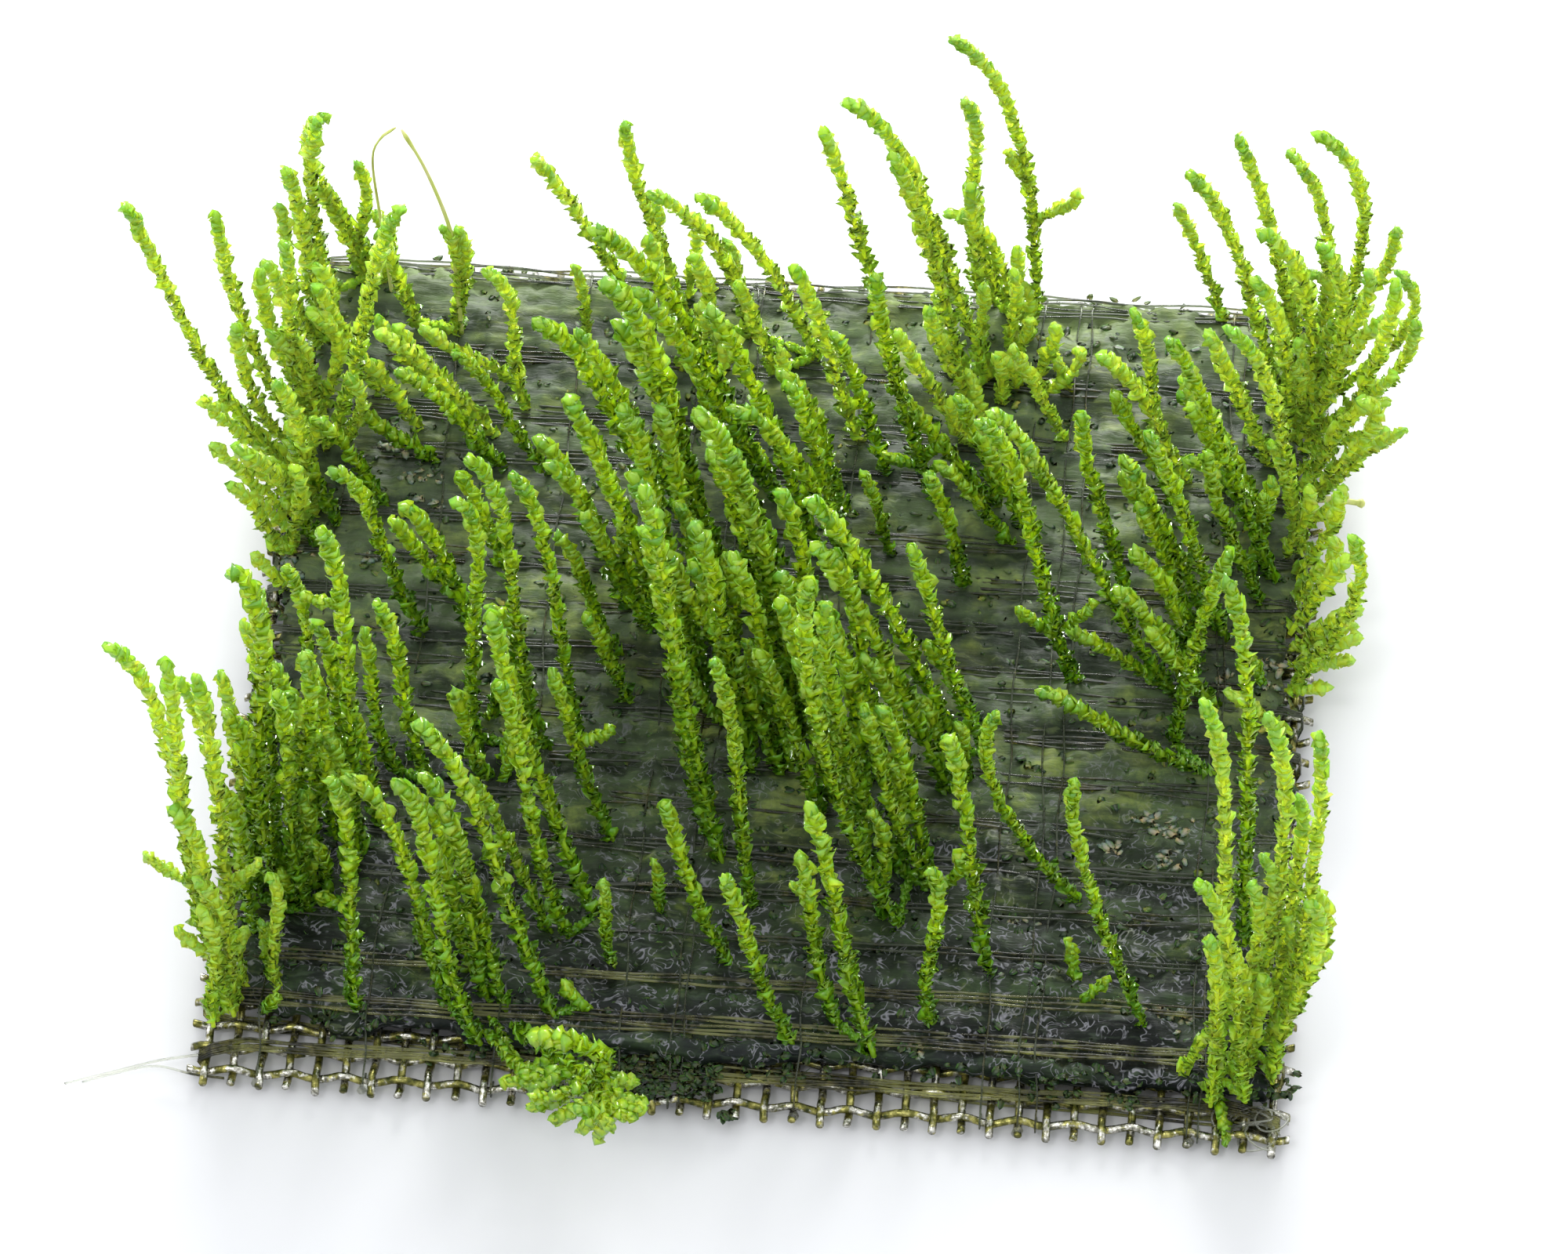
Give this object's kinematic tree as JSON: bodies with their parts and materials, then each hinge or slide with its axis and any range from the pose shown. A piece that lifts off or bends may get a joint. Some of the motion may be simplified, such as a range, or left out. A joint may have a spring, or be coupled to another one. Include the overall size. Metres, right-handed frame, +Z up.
{
  "type": "aquarium moss pad",
  "caption": "Square woven steel wire mesh pad with a pressed mat of flame moss tied on by clear nylon thread, and upright leafy moss shoots rising from it.",
  "frame": {"origin": "middle of the pad, on the surface that the thread's underside rests on", "axes": "+X to the right along the pad's front edge, +Y to its back, +Z up through the shoots; the picture looks from the front and above"},
  "size_m": [0.0591, 0.0568, 0.0253],
  "materials": {
    "steel_mesh": "drawn wire, algae stained",
    "nylon": "clear, wet",
    "moss_mat": "wet leaves",
    "moss_shoots": "wet, translucent leaves"
  },
  "bodies": {
    "root": {"wire_mesh": "steel_mesh", "moss_mat": "moss_mat", "nylon_thread": "nylon", "tuft_front_left_corner": "moss_shoots", "tuft_left_front": "moss_shoots", "shoot_left_tall": "moss_shoots", "shoot_left_front": "moss_shoots", "tuft_left_middle": "moss_shoots", "shoot_left_curled": "moss_shoots", "tuft_front_left": "moss_shoots", "tuft_front_left_leaning": "moss_shoots", "tuft_left_of_centre": "moss_shoots", "tuft_crossed": "moss_shoots", "shoot_middle_left": "moss_shoots", "shoot_middle_left_back": "moss_shoots", "shoot_middle_left_front": "moss_shoots", "shoot_front_middle_left": "moss_shoots", "shoot_front_middle": "moss_shoots", "shoot_front_middle_back": "moss_shoots", "tuft_front_middle": "moss_shoots", "shoot_front_right_of_middle": "moss_shoots", "tuft_centre_front": "moss_shoots", "tuft_centre": "moss_shoots", "tuft_centre_left": "moss_shoots", "tuft_centre_tall": "moss_shoots", "tuft_centre_back": "moss_shoots", "shoot_centre_back_right": "moss_shoots", "shoot_centre_right_arched": "moss_shoots", "tuft_centre_right": "moss_shoots", "tuft_middle_right": "moss_shoots", "tuft_front_centre_right": "moss_shoots", "shoot_right_of_centre": "moss_shoots", "shoot_right_bowed": "moss_shoots", "shoot_right_front": "moss_shoots", "tuft_right_crossed": "moss_shoots", "shoot_right_tall": "moss_shoots", "tuft_front_right_corner": "moss_shoots", "shoot_right_forked": "moss_shoots", "shoot_right_leaning": "moss_shoots", "shoot_right_upright": "moss_shoots", "tuft_right_middle": "moss_shoots", "tuft_right_back": "moss_shoots", "shoot_right_edge_tall": "moss_shoots", "shoot_right_back_short": "moss_shoots", "tuft_back_right_corner": "moss_shoots", "shoot_right_edge_curled": "moss_shoots", "tuft_back_middle": "moss_shoots", "tuft_back_edge_middle": "moss_shoots", "shoot_back_edge": "moss_shoots", "shoot_middle_back_upright": "moss_shoots", "shoot_middle_back_short": "moss_shoots", "tuft_back_left_middle": "moss_shoots", "shoot_back_left": "moss_shoots", "tuft_left_back": "moss_shoots", "tuft_back_left_corner": "moss_shoots", "tuft_back_left": "moss_shoots", "shoot_back_left_leaning": "moss_shoots", "shoot_left_back_slanting": "moss_shoots", "shoot_back_left_upright": "moss_shoots", "shoot_over_front_edge": "moss_shoots"}
  },
  "joints": []
}
